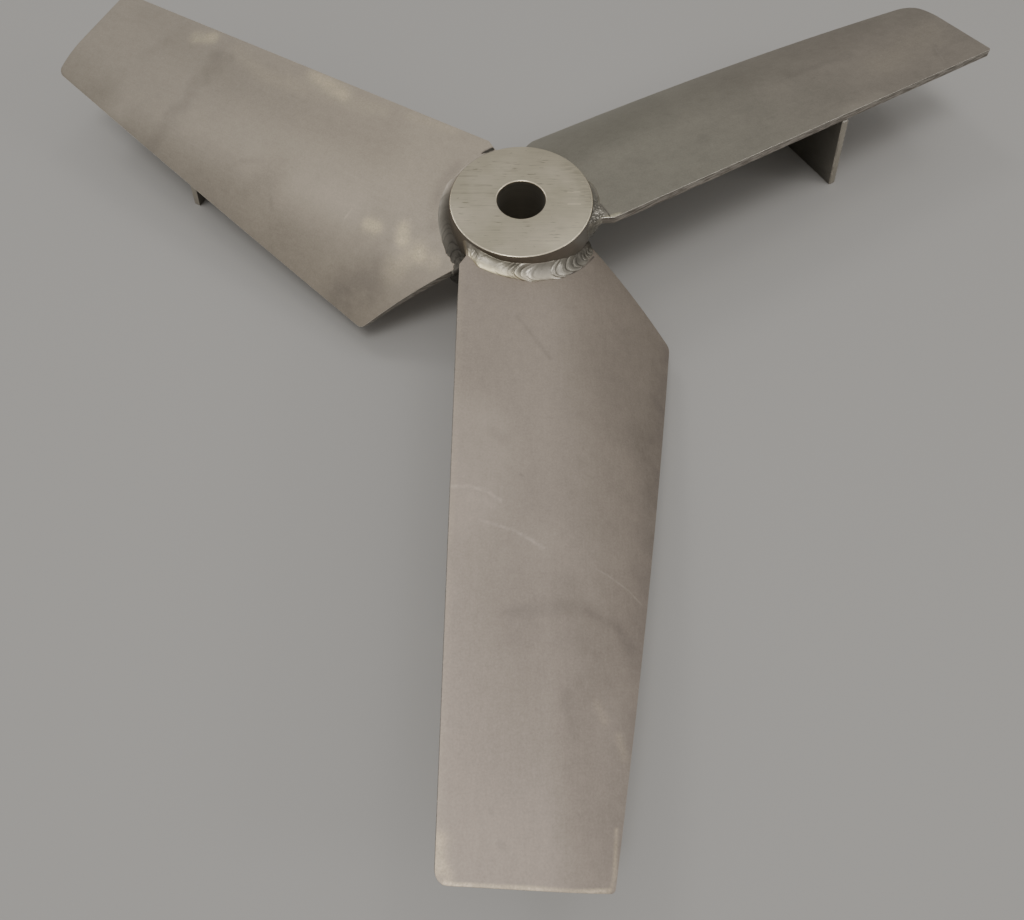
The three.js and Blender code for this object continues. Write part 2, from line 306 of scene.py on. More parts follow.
# Painted highlights where the plates catch the light, also along the edges
PAINTED_HIGHLIGHTS = {
    "front": (
        (((33, 250), (36, 256)), 3.5, 0.1),
        (((42, 262), (44, 270)), 3.5, 0.12),
        (((-29, 300), (-29, 312)), 8.0, 0.16),
        (((-31, 40), (-30.5, 170), (-30, 312)), 4.0, 0.06),
        (
            (
                (-26, 313), (-22, 313.6), (-13, 313.9), (-5.7, 314.3), (9, 315.1), (24, 316.2),
                (35.5, 316.3),
            ),
            1.4, 0.6,
        ),
        (((-29, 299), (-28, 307), (-25, 311)), 4.5, 0.2),
        (((39.2, 296), (37.6, 312), (36.4, 315.6)), 1.5, 0.26),
    ),
    "right": (
        (((-5, 250), (5, 300)), 20.0, 0.04),
        (((-30, 36), (-31, 42)), 2.6, 0.7),
    ),
    "left": (
        (((40, 70), (40, 75)), 7.0, 0.3),
        (((34, 55), (39, 53)), 7.0, 0.38),
        (((42, 42), (54, 50)), 11.0, 0.18),
        (((43, 30), (43, 38)), 7.0, 0.22),
        (((-24, 236), (-20, 246)), 8.0, 0.3),
        (((-22, 215), (-14, 188), (-19, 141), (-22, 107)), 9.0, 0.07),
        (((-27, 159), (-23.5, 134)), 8.0, 0.26),
        (((-27, 90), (-29, 60)), 5.0, 0.06),
    ),
}
# Smears, which are darker, and painted shadow: thin dark lines along the root beads' toes and a soft
# band beside the left root bead
SMEARS_AND_SHADOWS = {
    "front": (
        (((-1.6, 66.2), (15, 88.6)), 1.8, 0.1),
        (((-13, 131), (-7, 135)), 4.5, 0.08),
        (
            ((-5, 214.5), (10, 211.5), (20, 210.6), (29, 211.3), (37, 213.8), (44, 218), (49, 225)),
            6.0, 0.1,
        ),
        (((30, 212), (38, 215), (45, 219.5)), 3.0, 0.06),
        (((-7, 225), (18, 225), (40, 227)), 9.0, 0.03),
        (((20, 246), (22, 264)), 4.5, 0.07),
        (((30, 225), (38, 240)), 9.0, 0.05),
        (((71, 95), (79, 108)), 4.0, 0.12),
        (((-6, 300.5), (-5, 301)), 2.2, 0.1),
        (((-10, 289), (-9.5, 289.5)), 2.0, 0.08),
        (((1, 151.5), (1.6, 152)), 1.4, 0.16),
        (((30, 290), (33, 310)), 9.0, 0.05),
        (((84, 64), (64, 180), (44, 300)), 16.0, 0.18),
        (((2, 165), (8, 235)), 30.0, 0.05),
        # painted shadow along the bead's toe
        (((25.5, 36.0), (28, 34.2), (30.9, 31.2), (33.6, 28.6), (36.7, 24.4), (39.6, 19.8)), 0.8, 0.5),
    ),
    "right": (
        (((18, 199), (13.4, 242)), 6.0, 0.08),
        (((-16, 283), (-8, 290)), 3.0, 0.1),
        (((3, 70), (-2, 78)), 8.0, 0.06),
        (((-5, 116), (-2, 119)), 5.0, 0.07),
        # painted shadow along the bead's toe
        (((-18.3, 38.6), (-22.8, 38.2), (-26.9, 37.8), (-29.2, 37.2)), 0.9, 0.55),
    ),
    "left": (
        (((-16, 217), (-14, 224)), 7.5, 0.16),
        (((-13, 228), (-6, 216)), 5.0, 0.08),
        (((-5, 224), (4, 220)), 6.5, 0.07),
        (((9, 226), (16, 222)), 7.0, 0.14),
        (((24, 221), (31, 227)), 7.5, 0.13),
        (((38, 226), (54, 231)), 9.0, 0.09),
        (((39, 168), (33.5, 155)), 3.0, 0.06),
        (((44, 60), (47, 63)), 6.0, 0.1),
        (((62, 60), (74, 74)), 18.0, 0.22),
        (((-22, 100), (-20, 290)), 17.0, 0.05),
        # painted shade on the plate beside the root bead
        (((-10, 47), (4, 48.5), (17, 45.5), (27, 40)), 6.0, 0.14),
        (((50, 139), (54, 136)), 2.2, 0.1),
        (((-10, 262), (4, 268)), 7.0, 0.06),
        # painted shadows where the bead's leading end meets the hub
        (((-22.4, 37.7), (-24.4, 36.7), (-26.3, 35.4), (-27.4, 34.3)), 1.7, 0.9),
        (((-23.4, 38.6), (-24.9, 37.9), (-26.9, 36.5), (-28.1, 35.1)), 1.2, 0.32),
    ),
}
# Broad painted light on the plate, or painted shade where the strength is below 0
PAINTED_LIGHT_AND_SHADE = {
    "front": (
        (((-26, 125), (-24, 170)), 24.0, 0.14),
        (((-10, 128), (-6, 162)), 15.0, 0.07),
        (((0, 225), (0, 262)), 40.0, -0.12),
        (((45, 205), (38, 235)), 22.0, -0.1),
        (((60, 120), (62, 150)), 12.0, -0.07),
        (((22, 205), (24, 215)), 14.0, -0.08),
        (((27, 250), (25, 290)), 18.0, -0.09),
    ),
    "right": (
        (((-29, 202), (-28, 224)), 10.0, 0.12),
        (((-12, 85), (-17, 98)), 10.0, 0.07),
    ),
    "left": (
        (((41, 125), (39, 90)), 20.0, 0.17),
        (((47, 276), (44, 262)), 12.0, 0.13),
        (((36, 260), (36, 165)), 20.0, 0.15),
        (((44, 60), (43.5, 50)), 10.0, 0.1),
        (((-4, 210), (-2, 95)), 26.0, -0.11),
        (((-10, 255), (-4, 225)), 18.0, -0.08),
    ),
}
# Colour of each plate by the hub and at its tip. Their differences, from blade to blade and from hub to
# tip, are painted light and shade
PLATE_COLOURS = {
    "front": ((0.447, 0.387, 0.329), (0.496, 0.424, 0.364)),
    "right": ((0.372, 0.351, 0.294), (0.375, 0.336, 0.287)),
    "left": ((0.47, 0.412, 0.338), (0.4, 0.356, 0.297)),
}


HIGHLIGHT_WARMTH = (1.08, 1.07, 0.97)
STAIN = (0.36, 0.32, 0.29)
PAINTED_SHADOW = (0.07, 0.066, 0.055)
CUT_DARK = (0.25, 0.226, 0.196)
CUT_LIGHT = (0.52, 0.48, 0.43)
PLATE_LEAN = math.radians(25)
PLATE_UP = (math.sin(PLATE_LEAN), 0.0, math.cos(PLATE_LEAN))
PLATE_ROUGHNESS = 0.6
PLATE_GRAIN_DEPTH = 0.04


def plate_material(name, index):
    tree = Tree(f"blasted_plate_{name}")
    turn = blade_turn(index)
    point = tree.place(turn)
    x, y, _ = tree.split(point)
    plan = tree.join(x, y, 0.0)

    clouds = tree.noise(point, 38, detail=4)
    patches = tree.noise(point, 95, detail=2)
    grit = tree.noise(point, 0.9, detail=2, roughness=0.7)
    frost = tree.noise(point, 5, detail=4, roughness=0.7)
    rolled = tree.noise(point, 1.4, detail=3, stretch=(1, 9, 1))
    breaks = tree.span(tree.noise(point, 3, detail=3), 0.35, 0.62, 0.25)
    fades = tree.span(tree.noise(point, 12, detail=3), 0.3, 0.6, 0.45)

    # Plate colour from hub to tip, with painted light and shade
    by_hub, at_tip = PLATE_COLOURS[name]
    outwards = tree.span(tree.math("SUBTRACT", tree.math("MULTIPLY", patches, 60), y), 110, 300)
    plain = tree.blend(outwards, by_hub, at_tip)
    tone = tree.sum(
        (tree.swing(clouds), 0.26),
        (tree.swing(patches), 0.1),
        (tree.swing(frost), 0.24),
        (tree.swing(rolled), 0.1),
        (tree.swing(grit), 0.32),
    )
    above = tree.span(tree.split(tree.face_normal())[2], 0.1, 0.4)
    breaks = tree.math("MULTIPLY", breaks, above)
    fades = tree.math("MULTIPLY", fades, above)
    scuffs = tree.math("MULTIPLY", strokes(tree, plan, SCUFFS[name]), breaks)
    # Painted highlights, painted shadows among the smears, and broad painted light and shade
    highlights = tree.math("MULTIPLY", strokes(tree, plan, PAINTED_HIGHLIGHTS[name]), fades)
    smears_and_shadows = tree.math("MULTIPLY", strokes(tree, plan, SMEARS_AND_SHADOWS[name]), fades)
    shades = strokes(tree, plan, PAINTED_LIGHT_AND_SHADE[name])

    tone = tree.sum((tone, 1.0), (shades, 1.0), (scuffs, 1.0), (highlights, 1.0), (smears_and_shadows, -1.0))
    # Painted glints within the painted highlights, and the highlights' warm tint
    painted_glints = tree.math("MULTIPLY", tree.swing(grit), highlights)
    colour = tree.toned(plain, tree.sum((tone, 1.0), (painted_glints, 2.0)))
    warm = tree.vector("MULTIPLY", colour, HIGHLIGHT_WARMTH)
    colour = tree.blend(tree.math("MULTIPLY", highlights, 4.0, clamp=True), colour, warm)
    # Weak smears take the stain colour; the strongest ones are painted shadows and take the shadow
    # colour
    stain_and_shadow = tree.math("MULTIPLY", smears_and_shadows, 2.0, clamp=True)
    deep = tree.span(smears_and_shadows, 0.3, 0.6)
    cover = tree.math("MULTIPLY", stain_and_shadow, tree.span(deep, 0.0, 1.0, 0.5, 0.9, smooth=False))
    colour = tree.blend(cover, colour, tree.blend(deep, STAIN, PAINTED_SHADOW))

    facing = tree.math("ABSOLUTE", tree.vector("DOT_PRODUCT", tree.face_normal(turn), PLATE_UP))
    cut = tree.span(facing, 0.8, 0.7)
    lines = tree.noise(point, 0.5, detail=2, stretch=(14, 14, 1))
    cut_colour = tree.blend(tree.span(lines, 0.34, 0.66), CUT_DARK, CUT_LIGHT)
    # The painted highlights lighten the cut faces too
    colour = tree.blend(cut, colour, tree.toned(cut_colour, tree.math("MULTIPLY", highlights, 2.0)))

    roughness = tree.sum(
        (tree.swing(clouds), 0.12),
        (tree.swing(frost), 0.08),
        (scuffs, -0.5),
    )
    roughness = tree.math("ADD", roughness, PLATE_ROUGHNESS)
    height = tree.sum((grit, 0.6), (frost, 0.5), (rolled, 0.3), (scuffs, 1.2))
    return tree.finish(colour, roughness, tree.bump(height, PLATE_GRAIN_DEPTH))


NICK_DEPTH = 0.04


def edge_material(name, dull, bright):
    """The thin worn arris along every cut edge, rubbed brighter than the faces beside it."""
    tree = Tree(name)
    point = tree.place()
    wear = tree.noise(point, 6, detail=4, roughness=0.65)
    nicks = tree.noise(point, 1.2, detail=2)
    colour = tree.blend(tree.span(wear, 0.3, 0.65), dull, bright)
    roughness = tree.span(wear, 0.3, 0.7, 0.36, 0.22)
    geometry = tree.nodes.new("ShaderNodeNewGeometry")
    return tree.finish(colour, roughness, tree.bump(nicks, NICK_DEPTH, geometry.outputs["True Normal"]))


# Fins: mill plate with sheared ends, the plate painted dark as shade

# The fins' face colours are painted dark, as the shade under the blades
SHADED_MILL_DARK = (0.2, 0.186, 0.16)
SHADED_MILL_LIGHT = (0.25, 0.235, 0.205)
SHEARED_DARK = (0.42, 0.39, 0.33)
SHEARED_LIGHT = (0.66, 0.615, 0.53)
MILL_GRAIN_DEPTH = 0.03


def fin_material(name, index):
    tree = Tree(f"shaded_mill_plate_{name}")
    point = tree.place(blade_turn(index))
    clouds = tree.noise(point, 24, detail=4)
    rolled = tree.noise(point, 0.6, detail=2, stretch=(40, 1, 1))
    grit = tree.noise(point, 1.0, detail=2, roughness=0.7)
    # Face colour, painted dark as shade
    colour = tree.blend(tree.span(clouds, 0.3, 0.7), SHADED_MILL_DARK, SHADED_MILL_LIGHT)
    tone = tree.sum((tree.swing(rolled), 0.16), (tree.swing(grit), 0.14))
    across, _, upwards = tree.split(tree.face_normal(blade_turn(index)))
    cut = tree.math("MAXIMUM", tree.math("ABSOLUTE", across), tree.math("ABSOLUTE", upwards))
    lines = tree.noise(point, 0.5, detail=2, stretch=(14, 1, 14))
    cut_colour = tree.blend(lines, SHEARED_DARK, SHEARED_LIGHT)
    colour = tree.blend(tree.span(cut, 0.7, 0.85), tree.toned(colour, tone), cut_colour)
    roughness = tree.span(clouds, 0.3, 0.7, 0.5, 0.42)
    height = tree.sum((grit, 0.5), (rolled, 0.5))
    return tree.finish(colour, roughness, tree.bump(height, MILL_GRAIN_DEPTH))


# Hub: faced across its ends, turned outside, bored through

# Pale ticks of tool chatter on the hub's upper face, and a patch of painted light
HUB_TICKS_AND_LIGHT = (
    (((24.7, -5.1), (31, -5.2)), 0.7, 0.3),
    (((24.6, 3.1), (31, 3.1)), 0.7, 0.3),
    (((25, -1), (29.5, -1)), 0.6, 0.08),
    (((22, -12.5), (33, -12.5)), 0.8, 0.08),
    # painted light
    (((16, 30), (26, 24), (31, 14)), 8.0, 0.13),
)
# Rows of stains along its grain, and a patch of painted shade
HUB_STAINS_AND_SHADE = (
    (((-20, 20.7), (-11, 20.7)), 0.8, 0.14),
    (((4.7, 27.4), (20, 27.3)), 0.6, 0.16),
    (((-33, -20.5), (-22, -19)), 1.0, 0.18),
    (((-33, -16), (-24, -16)), 1.2, 0.2),
    (((-32, -9.5), (-16, -9.5)), 1.2, 0.2),
    (((-37, -4), (-13, -4)), 1.0, 0.16),
    (((-26, 4.4), (-14, 4.4)), 1.0, 0.12),
    (((18, 19), (32, 18.5)), 1.0, 0.08),
    (((-9, -19.5), (-2, -20)), 1.0, 0.12),
    # painted shade
    (((26, -22), (34, -12), (37, 0)), 8.0, 0.16),
)


FACE_DARK = (0.595, 0.54, 0.405)
FACE_LIGHT = (0.645, 0.58, 0.447)
SIDE_DARK = (0.25, 0.228, 0.197)
SIDE_LIGHT = (0.36, 0.33, 0.29)
BORE_COLOUR = (0.58, 0.55, 0.49)
CHAMFER_HIGHLIGHT = (0.95, 0.84, 0.63)
INSIDE_RADIUS = 20
HUB_ROUGHNESS = 0.42
TOOL_MARK_DEPTH = 0.02


def hub_material():
    tree = Tree("machined_hub")
    point = tree.place()
    x, y, z = tree.split(point)
    normal = tree.face_normal()
    upright = tree.math("ABSOLUTE", tree.split(normal)[2])
    level = tree.math("GREATER_THAN", upright, 0.9)
    slanted = tree.math("GREATER_THAN", upright, 0.4)
    chamfer = tree.math("MULTIPLY", slanted, tree.math("SUBTRACT", 1.0, level))
    plan = tree.join(x, y, 0.0)
    radius = tree.vector("LENGTH", plan)
    inside = tree.math("LESS_THAN", radius, INSIDE_RADIUS)

    clouds = tree.noise(point, 22, detail=3)
    grain = tree.noise(point, 0.55, detail=3, stretch=(40, 1, 1))
    dashes = tree.noise(point, 1.0, detail=3, roughness=0.5, stretch=(7, 1, 1))
    dark_dashes = tree.span(dashes, 0.42, 0.26)
    pale_dashes = tree.span(dashes, 0.66, 0.8)
    scattered = tree.span(tree.noise(point, 14, detail=1), 0.4, 0.58)
    speck = tree.span(tree.noise(point, 1.6, detail=2, roughness=0.6), 0.3, 0.24)
    broken = tree.span(dashes, 0.35, 0.6)
    face = tree.blend(tree.span(clouds, 0.3, 0.7), FACE_DARK, FACE_LIGHT)
    face_tone = tree.sum(
        (tree.swing(grain), 0.36),
        (tree.swing(clouds), 0.27),
        (tree.math("MULTIPLY", dark_dashes, scattered), -0.48),
        (tree.math("MULTIPLY", pale_dashes, scattered), 0.16),
        (speck, -0.3),
        (strokes(tree, plan, HUB_TICKS_AND_LIGHT), 1.0),
        (tree.math("MULTIPLY", strokes(tree, plan, HUB_STAINS_AND_SHADE), broken), -1.2),
    )
    face = tree.toned(face, face_tone)

    rings = tree.noise(tree.join(radius, 0.0, z), 0.35, detail=2, roughness=0.6)
    worn = tree.noise(point, 9, detail=4)
    turned = tree.toned(tree.blend(worn, SIDE_DARK, SIDE_LIGHT), tree.sum((tree.swing(rings), 0.35)))
    bored = tree.toned(BORE_COLOUR, tree.sum((tree.swing(rings), 0.5)))
    side = tree.blend(inside, turned, bored)

    # Painted highlight on the chamfers: on the inner part of the rim's chamfer, and on the far side of
    # the bore's
    lit_inner_part = tree.span(radius, HUB_RADIUS / MM - 0.25, HUB_RADIUS / MM - 0.5)
    lit_far_side = tree.span(y, -9, 9, 0.15)
    bright = tree.math("MULTIPLY", chamfer, tree.blend(inside, lit_inner_part, lit_far_side))
    colour = tree.blend(bright, tree.blend(level, side, face), CHAMFER_HIGHLIGHT)
    roughness = tree.sum((tree.swing(clouds), 0.1), (level, -0.04), (bright, -0.14))
    roughness = tree.math("ADD", roughness, HUB_ROUGHNESS)
    return tree.finish(colour, roughness, tree.bump(tree.blend(level, rings, grain), TOOL_MARK_DEPTH))


WELD_GRAIN_DEPTH = 0.04


def weld_material(index, name, rough, bands, toe_colours):
    """Weld metal, darker as painted shade where its faces turn downwards. bands gives, at places x
    across the blade, its colour by the plate and its colour by the hub, which paint its light and shade.
    toe_colours are the two along its very toe, mixed in patches; the darker paints the shade in the gap
    by the plate."""
    tree = Tree(name)
    point = tree.place(blade_turn(index))
    x = tree.split(point)[0]
    crest = tree.span(tree.attribute("ripple"), 0.05, 0.9)
    across = tree.span(tree.attribute("across"), 0.0, 0.62, smooth=False)
    clouds = tree.noise(point, 6, detail=4, roughness=0.6)
    grit = tree.noise(point, 0.7, detail=2, roughness=0.7)
    # Colours by the plate and by the hub, band by band across the blade: painted light and shade
    colour = tree.blend(across, *bands[0][1:])
    for (start, _, _), (full, by_plate, by_hub) in zip(bands, bands[1:]):
        colour = tree.blend(tree.span(x, start, full), colour, tree.blend(across, by_plate, by_hub))
    # Along the toe, the darker colour paints the shade in the gap by the plate
    toe = tree.span(tree.attribute("across"), 0.12, 0.03)
    toe_colour = tree.blend(tree.span(clouds, 0.4, 0.6), *toe_colours)
    colour = tree.blend(tree.math("MULTIPLY", toe, 0.6), colour, toe_colour)
    upwards = tree.split(tree.face_normal())[2]
    tone = tree.sum(
        # painted light on the ripples' crests, painted shade in their valleys
        (tree.math("SUBTRACT", crest, 0.7), 0.85),
        (tree.swing(clouds), 0.4),
        (tree.swing(grit), 0.2),
        # painted shade where the faces turn downwards
        (tree.span(upwards, 0.15, -0.25), -0.3),
    )
    roughness = tree.span(clouds, 0.3, 0.7, rough + 0.06, rough - 0.06)
    return tree.finish(tree.toned(colour, tone), roughness, tree.bump(grit, WELD_GRAIN_DEPTH))


# CAD nodes: one skin, worn along its sharp edges

ARRIS = 0.6 * MM
SHARP = math.radians(38)
SAME_CORNER = 0.01 * MM
NORMALS_WEIGHT = 60


def skin_group():
    """A geometry node group that joins the split corners of an imported mesh and shades it smoothly."""
    group = bpy.data.node_groups.new("one_skin", "GeometryNodeTree")
    for way in ("INPUT", "OUTPUT"):
        group.interface.new_socket("Geometry", in_out=way, socket_type="NodeSocketGeometry")
    last = group.nodes.new("NodeGroupInput").outputs["Geometry"]
    for attribute in ("custom_normal", "sharp_face", "sharp_edge"):
        remove = group.nodes.new("GeometryNodeRemoveAttribute")
        remove.inputs["Name"].default_value = attribute
        group.links.new(last, remove.inputs["Geometry"])
        last = remove.outputs["Geometry"]
    merge = group.nodes.new("GeometryNodeMergeByDistance")
    merge.inputs["Distance"].default_value = SAME_CORNER
    smooth = group.nodes.new("GeometryNodeSetShadeSmooth")
    result = group.nodes.new("NodeGroupOutput")
    group.links.new(last, merge.inputs["Geometry"])
    group.links.new(merge.outputs["Geometry"], smooth.inputs["Geometry"])
    group.links.new(smooth.outputs["Geometry"], result.inputs["Geometry"])
    return group


SKIN = skin_group()


def dress(node, faces, edges=None):
    """Give a node its material and, along its sharp edges, a narrow bevel of the material for edges."""
    node.data.materials.clear()
    node.data.materials.append(faces)
    skin = node.modifiers.new("one skin", "NODES")
    skin.node_group = SKIN
    if edges:
        node.data.materials.append(edges)
        bevel = node.modifiers.new("worn arris", "BEVEL")
        bevel.width = ARRIS
        bevel.segments = 1
        bevel.limit_method = "ANGLE"
        bevel.angle_limit = SHARP
        bevel.material = 1
    normals = node.modifiers.new("flat faces", "WEIGHTED_NORMAL")
    normals.mode = "FACE_AREA"
    normals.weight = NORMALS_WEIGHT


# Welds

BEAD_COLUMNS = 28
BEAD_BOW = 5.2 * MM
CREST_LEAN = 0.7
CREST_FLATNESS = 0.55
FINE_PITCH = 1.2 * MM
ROW_MARGIN = 12 * MM
SHORTEST_STEP = 0.05 * MM
LUMP_SIZES = (2.2 * MM, 1.1 * MM)
SWIRL_SIZES = (4.0 * MM, 1.5 * MM)
SWIRLS = 12
# Share of the coarse crests in the ripples' painted light and shade
CREST_TONE = 0.75
# Height of a row's own swell and of the finer ripples, as shares of the ripples' depth
ROW_SWELL = 0.4
FINE_DEPTH = 0.22
# How far a bead stands proud without ripples, and the height of its lumps and swirls, in millimetres
PROUD = 0.03
LUMP_HEIGHT = 0.6
SWIRL_HEIGHT = 0.7
# How deep a bead's back lies behind its corner, and its toes in the hub, the plate and the fin
SUNK = 0.35 * MM
SUNK_IN_HUB = 0.15 * MM
SUNK_IN_PLATE = 0.1 * MM
SUNK_IN_FIN = 0.1 * MM


def surface(node):
    mesh = node.data
    return BVHTree.FromPolygons([v.co for v in mesh.vertices], [p.vertices for p in mesh.polygons])


PLATE = surface(nodes["blade_front"])
BLADE_MIDDLE = Vector((0.015, -0.08, 0))
INLAND_STEP = 0.2 * MM


def plate_height(place, side):
    """Height of the front blade's upper face, side 1, or underside, side -1, at a place in plan or, off
    its edge, at the nearest place inland."""
    start = Vector((place.x, place.y, side))
    inland = (BLADE_MIDDLE - place).xy.normalized().to_3d() * INLAND_STEP
    while True:
        hit = PLATE.ray_cast(start, Vector((0, 0, -side)))[0]
        if hit:
            return hit.z
        start += inland


def between(curve, t):
    """Value of a curve given as (t, value) points, eased from point to point."""
    if t <= curve[0][0]:
        return curve[0][1]
    for (t0, v0), (t1, v1) in zip(curve, curve[1:]):
        if t <= t1:
            share = (t - t0) / (t1 - t0)
            share = share * share * (3 - 2 * share)
            return v0 + (v1 - v0) * share
    return curve[-1][1]


def clipped(value, low=0.0, high=1.0):
    return min(high, max(low, value))


def peak(share, middle, reach):
    """1 at the middle, 0 at reach to either side, and below 0 beyond."""
    return 1 - abs(share - middle) / reach


class Ripples:
    """Crescent ripples along a bead, of uneven pitch, with finer ones that come and go. pitches gives
    the pitch in millimetres by the share of the bead's length."""

    def __init__(self, length, seed, pitches):
        chance = random.Random(seed)
        self.offset = Vector((seed * 7.3, 0, 0))
        self.rows = []
        s = -ROW_MARGIN
        while s < length + ROW_MARGIN:
            width = between(pitches, s / length) * MM * chance.uniform(0.5, 1.5)
            self.rows.append((s, s + width, chance.uniform(0.15, 1.0), chance.uniform(-1.0, 1.0)))
            s += width

    def coarse(self, q):
        """Crest from 0 to 1, strength and swell of the ripple at q along the bead."""
        start, end, strength, swell = next(row for row in self.rows if q < row[1])
        t = (q - start) / (end - start)
        return math.sin(math.pi * t ** CREST_LEAN) ** CREST_FLATNESS, strength, swell

    def wander(self, s, size, lane):
        """Noise along the bead, in swells about size millimetres long. Each lane is another noise."""
        return noise.noise(Vector((s / (size * MM), lane, 0)) + self.offset)

    def bow(self, s):
        """How far a ripple's ends lag behind its middle at s along the bead."""
        return BEAD_BOW * (1 + 0.6 * self.wander(s, 7, lane=9))

    def fine(self, q):
        """Finer ripple from 0 to 1, and how busy it is at q."""
        phase = 2 * math.pi * q / FINE_PITCH + 5 * self.wander(q, 6, lane=0)
        busy = clipped(0.35 + 1.6 * self.wander(q, 9, lane=5))
        return 0.5 + 0.5 * math.sin(phase), busy


# How a bead stands across its corner: two handles between its toes, each a share of the run over the
# plate and a share of the rise on the other part
PLUMP = ((0.9, 0.3), (0.36, 0.32))
EVEN = ((0.8, 0.3), (0.3, 0.6))
HOLLOW = ((0.66, 0.06), (0.1, 0.5))
LOBE = ((1.02, 0.5), (0.75, 0.95))


def even_all_along(share):
    return EVEN


def none_along(share):
    return 0.0


def across_bead(corner, plate_toe, other_toe, handles, v):
    """Point across a bead, from its toe on the plate, v = 0, to its toe on the other part, v = 1."""
    run = plate_toe - corner
    rise = other_toe - corner
    first, second = (corner + out * run + up * rise for out, up in handles)
    u = 1 - v
    return u ** 3 * plate_toe + 3 * u * u * v * first + 3 * u * v * v * second + v ** 3 * other_toe


def two_noises(point, sizes, second_weight):
    first, second = sizes
    return noise.noise(point / first) + second_weight * noise.noise(point / second)


def bead(
    name, stations, seed, pitches, depth, ragged,
    handles=even_all_along, calm=none_along, lumps=none_along, closed=False,
):
    """A weld bead over stations of (corner, toe on the plate, toe on the other part). depth is its
    ripples' height and ragged how far they move its toes. handles gives its shape across, and calm and
    lumps from 0 to 1 how smooth and how lumpy it is, at a share of its length."""
    lengths = [0.0]
    for (a, _, _), (b, _, _) in zip(stations, stations[1:]):
        lengths.append(lengths[-1] + max((b - a).length, SHORTEST_STEP))
    pattern = Ripples(lengths[-1], seed, pitches)

    verts = []
    ripple_shading = []
    shares = []
    for length, (corner, plate_toe, other_toe) in zip(lengths, stations):
        share = length / lengths[-1]
        quiet = calm(share)
        lumpy = lumps(share)
        shape = handles(share)
        outwards = ((plate_toe + other_toe) / 2 - corner).normalized()
        for j in range(BEAD_COLUMNS + 1):
            v = j / BEAD_COLUMNS
            side = 2 * v - 1
            point = across_bead(corner, plate_toe, other_toe, shape, v)
            q = length - pattern.bow(length) * side * side
            crest, strength, rise = pattern.coarse(q)
            wave, busy = pattern.fine(q)
            lump = two_noises(point, LUMP_SIZES, 0.6)
            swirl = 0.5 + 0.5 * math.sin(SWIRLS * two_noises(point, SWIRL_SIZES, 0.35))

            body = max(0.0, 1 - side ** 6)
            lift = depth * strength * (1 - quiet) * (crest - 0.4)
            lift += depth * ROW_SWELL * rise * (1 - 0.6 * quiet)
            lift += depth * FINE_DEPTH * (wave - 0.5) * busy * (1 - 0.8 * quiet)
            lift += (PROUD + LUMP_HEIGHT * lumpy * lump + SWIRL_HEIGHT * lumpy * (swirl - 0.5)) * MM
            edge = ragged * (1 - quiet) * (crest - 0.6) * strength
            point += (point - corner).normalized() * edge * (1 - body)
            verts.append(point + outwards * lift * body)

            # Painted light and shade of the ripples and of the lumps' swirls: lighter on crests, darker
            # in valleys
            ridge = CREST_TONE * crest + (1 - CREST_TONE) * (1 - busy + busy * wave)
            ridge += (swirl - ridge) * lumpy
            ripple_shading.append(ridge + (CREST_TONE - ridge) * quiet)
            shares.append(v)
        verts.append(corner - outwards * SUNK)
        ripple_shading.append(0.0)
        shares.append(0.5)

    mesh = bpy.data.meshes.new(name)
    mesh.from_pydata([tuple(v) for v in verts], [], bead_faces(len(stations), closed))
    for attribute, values in (("ripple", ripple_shading), ("across", shares)):
        mesh.attributes.new(attribute, "FLOAT", "POINT").data.foreach_set("value", values)
    mesh.polygons.foreach_set("use_smooth", [True] * len(mesh.polygons))
    face_outwards(mesh)
    piece = bpy.data.objects.new(name, mesh)
    bpy.context.scene.collection.objects.link(piece)
    return piece


def bead_faces(count, closed):
    """Faces of a tube of count rings, joined end to end where it is closed, or else capped."""
    ring = BEAD_COLUMNS + 2
    faces = []
    for i in range(count if closed else count - 1):
        for j in range(ring):
            here = i * ring
            there = ((i + 1) % count) * ring
            following = (j + 1) % ring
            faces.append((here + j, there + j, there + following, here + following))
    if not closed:
        faces.append(tuple(range(ring)))
        faces.append(tuple(range(count * ring - 1, (count - 1) * ring - 1, -1)))
    return faces


def face_outwards(mesh):
    shape = bmesh.new()
    shape.from_mesh(mesh)
    bmesh.ops.recalc_face_normals(shape, faces=shape.faces)
    shape.to_mesh(mesh)
    shape.free()


# Where each root bead turns round the ends of the plate, as angles around the hub, and its stations
ROOT_LEAD = math.radians(-47)
ROOT_TRAIL = math.radians(72)
ROOT_MARGIN = math.radians(2)
STEP = 0.3 * MM
END_STEPS = 24

